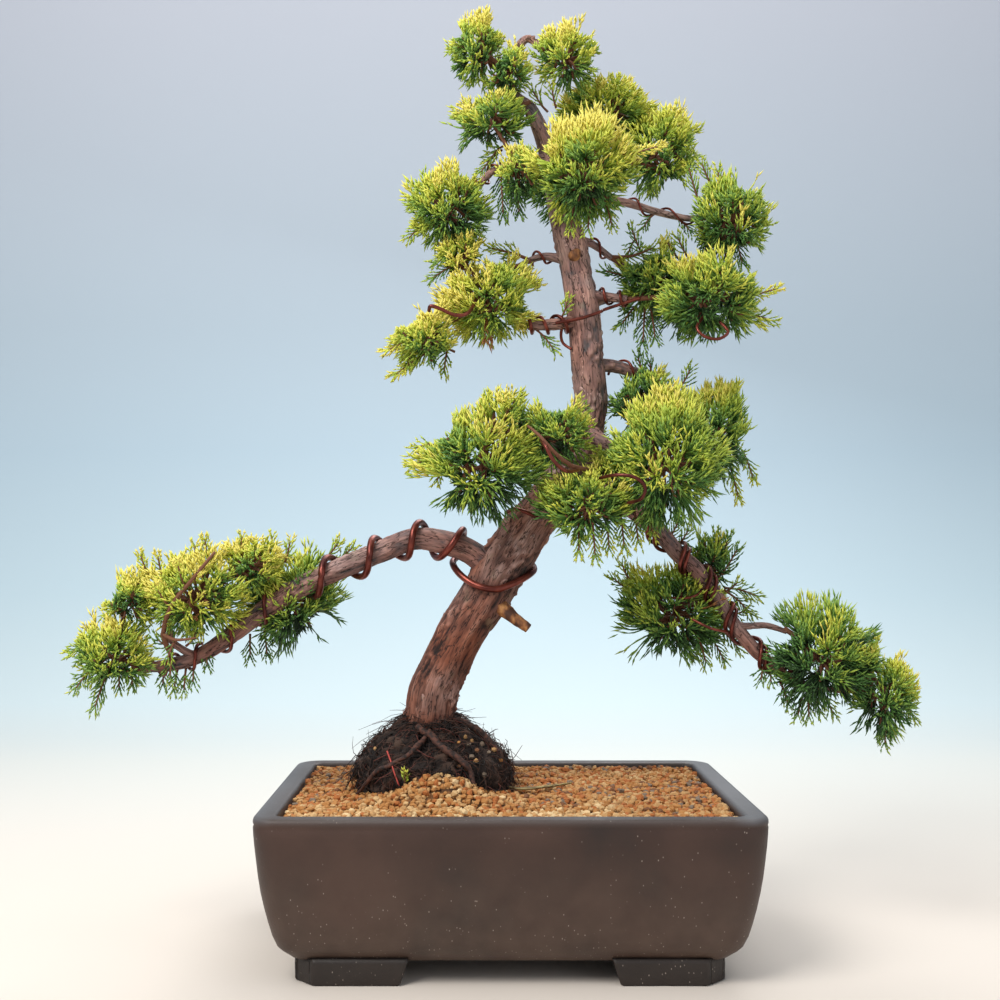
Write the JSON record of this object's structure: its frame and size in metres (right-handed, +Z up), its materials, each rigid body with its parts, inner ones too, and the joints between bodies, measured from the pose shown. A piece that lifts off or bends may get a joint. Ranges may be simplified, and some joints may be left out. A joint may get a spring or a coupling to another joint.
{
  "type": "potted bonsai tree",
  "caption": "Wired golden juniper bonsai with a leaning trunk, drooping side boughs and rounded foliage pads, in a low rectangular clay pot on feet",
  "frame": {"origin": "middle of the footprint of the whole object, on the ground plane under the pot feet", "axes": "+Z up, +X to the right along the pot length, -Y towards the viewer of the picture"},
  "size_m": [0.5476, 0.22, 0.6145],
  "materials": {
    "bark": "rough peeling bark",
    "foliage": "matte scale leaves, green to golden yellow",
    "wire": "copper-brown satin",
    "roots": "dark fibrous root mass",
    "soil": "matte ochre grains",
    "clay": "unglazed dark brown clay, slightly satin rim"
  },
  "bodies": {
    "root": {"trunk": "bark", "left_bough": "bark", "left_upper_twig": "bark", "left_inner_twig": "bark", "right_bough": "bark", "right_inner_twig": "bark", "right_outer_twig": "bark", "front_left_bough": "bark", "front_right_bough": "bark", "back_low_bough": "bark", "right_elbow_bough": "bark", "mid_left_bough": "bark", "mid_left_high_bough": "bark", "mid_right_bough": "bark", "mid_right_high_bough": "bark", "back_mid_bough": "bark", "upper_left_bough": "bark", "right_shoulder_bough": "bark", "left_tip": "foliage", "left_upper": "foliage", "left_inner": "foliage", "right_inner": "foliage", "right_upper": "foliage", "right_outer": "foliage", "right_tip": "foliage", "front_left": "foliage", "front_right": "foliage", "centre_low": "foliage", "back_low": "foliage", "elbow_near": "foliage", "elbow_far": "foliage", "mid_left": "foliage", "mid_right": "foliage", "back_mid": "foliage", "upper_left": "foliage", "right_shoulder": "foliage", "upper_front": "foliage", "upper_right": "foliage", "upper_top": "foliage", "back_upper": "foliage", "shoulder_left": "foliage", "apex_left": "foliage", "apex_right": "foliage", "trunk_loop_wire": "wire", "left_bough_wire": "wire", "left_tip_wire": "wire", "right_bough_wire": "wire", "right_bough_second_wire": "wire", "right_elbow_wire": "wire", "upper_left_wire": "wire", "right_shoulder_wire": "wire", "root_ball": "roots", "soil": "soil", "pot": "clay", "foot_front_left": "clay", "foot_front_right": "clay", "foot_rear_left": "clay", "foot_rear_right": "clay"}
  },
  "joints": []
}
